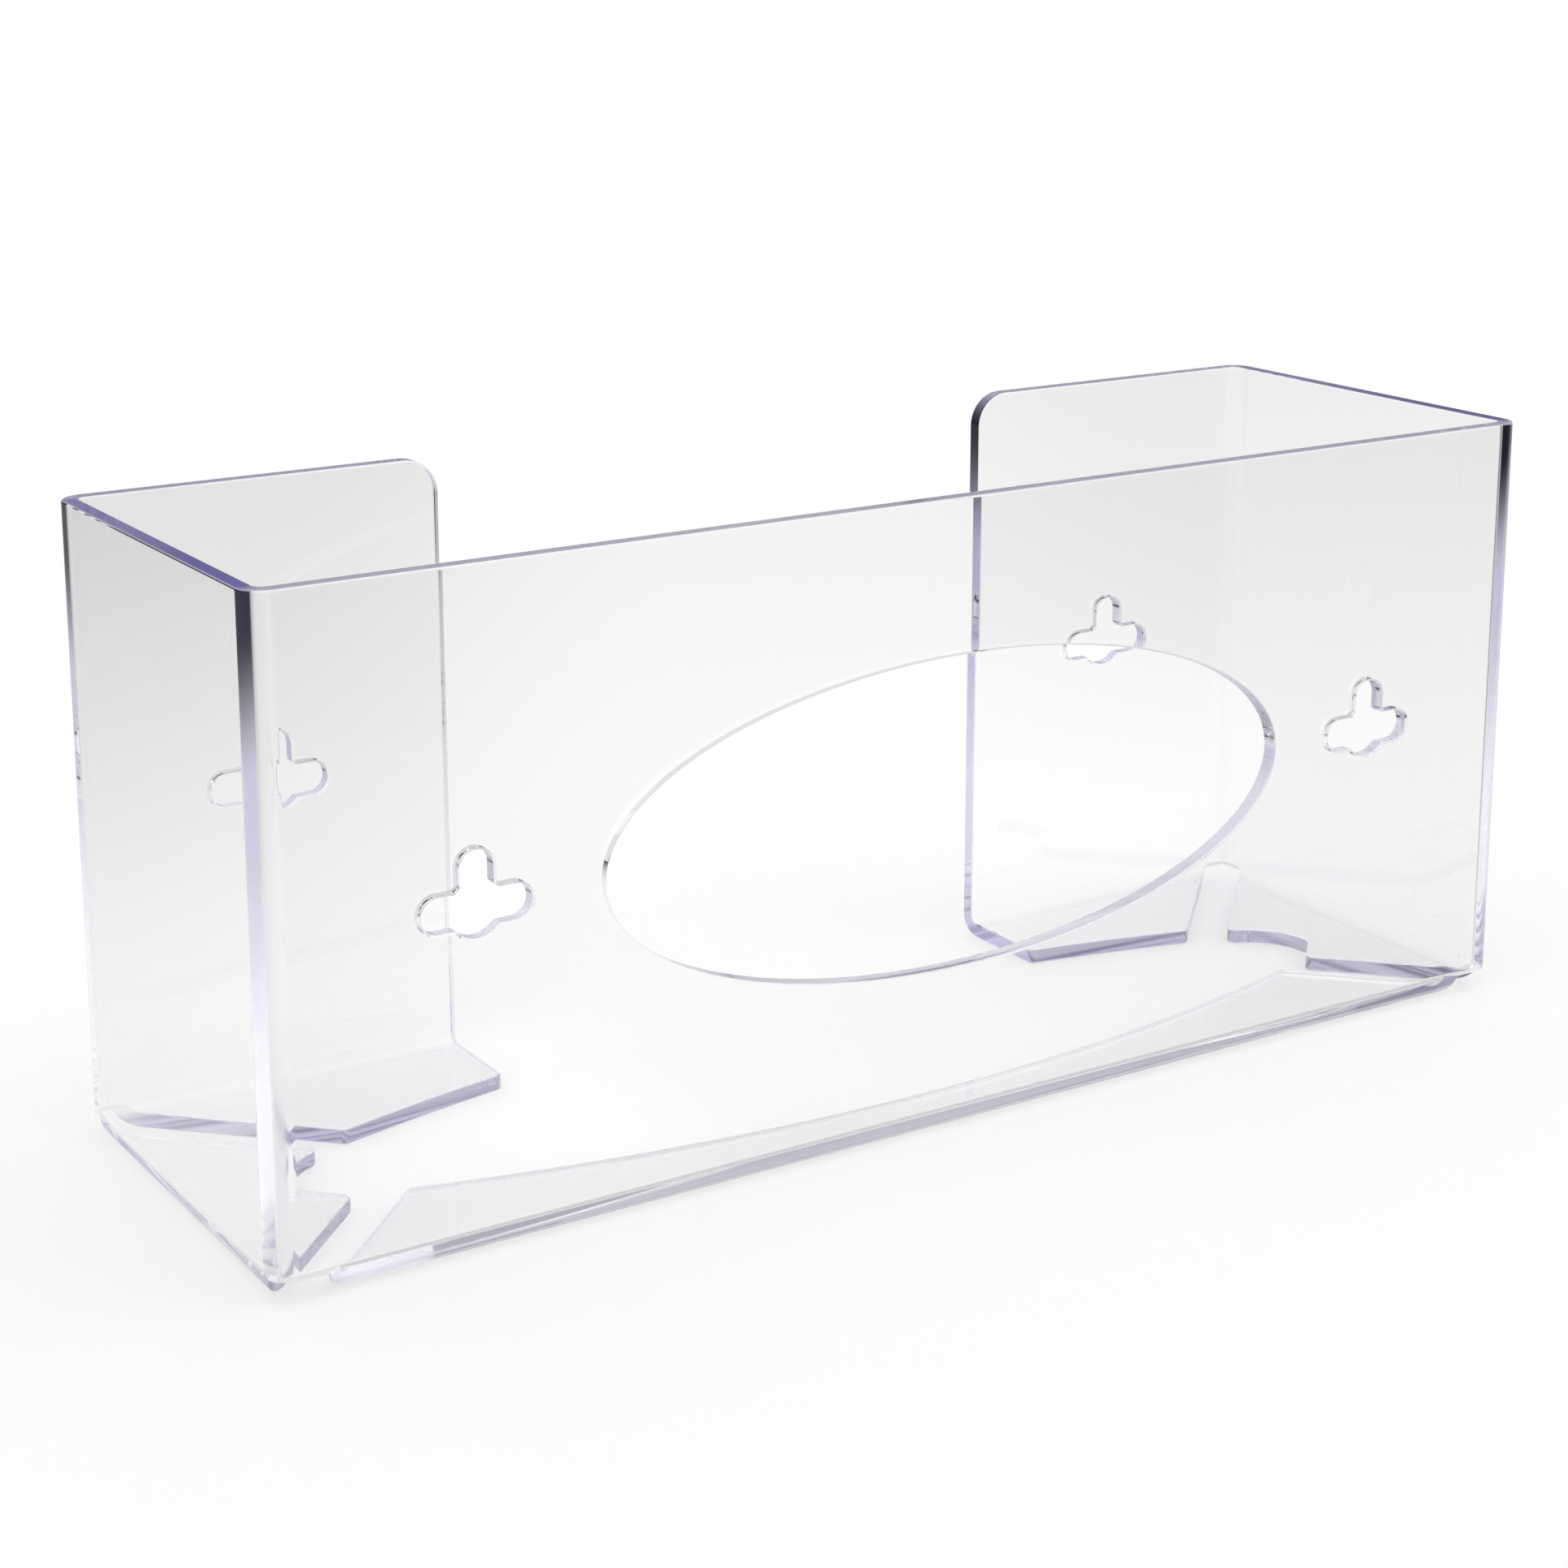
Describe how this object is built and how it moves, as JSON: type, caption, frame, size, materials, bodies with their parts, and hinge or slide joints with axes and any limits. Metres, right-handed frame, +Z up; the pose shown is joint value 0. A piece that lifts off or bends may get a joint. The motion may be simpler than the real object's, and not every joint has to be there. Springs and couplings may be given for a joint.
{
  "type": "disposable glove dispenser",
  "caption": "Clear folded-sheet wall holder for a carton of gloves, with an oval hand opening, keyholes, open top and mitred floor flanges.",
  "frame": {"origin": "middle of the footprint, on the underside of the floor flanges", "axes": "+X along the front, to the right of someone facing it, +Y from the front panel to the wall, +Z up"},
  "size_m": [0.26, 0.0826, 0.114],
  "materials": {
    "clear_sheet": "clear colourless sheet with flame-softened cut edges that look faintly violet"
  },
  "bodies": {
    "root": {"folded_sheet": "clear_sheet"}
  },
  "joints": []
}
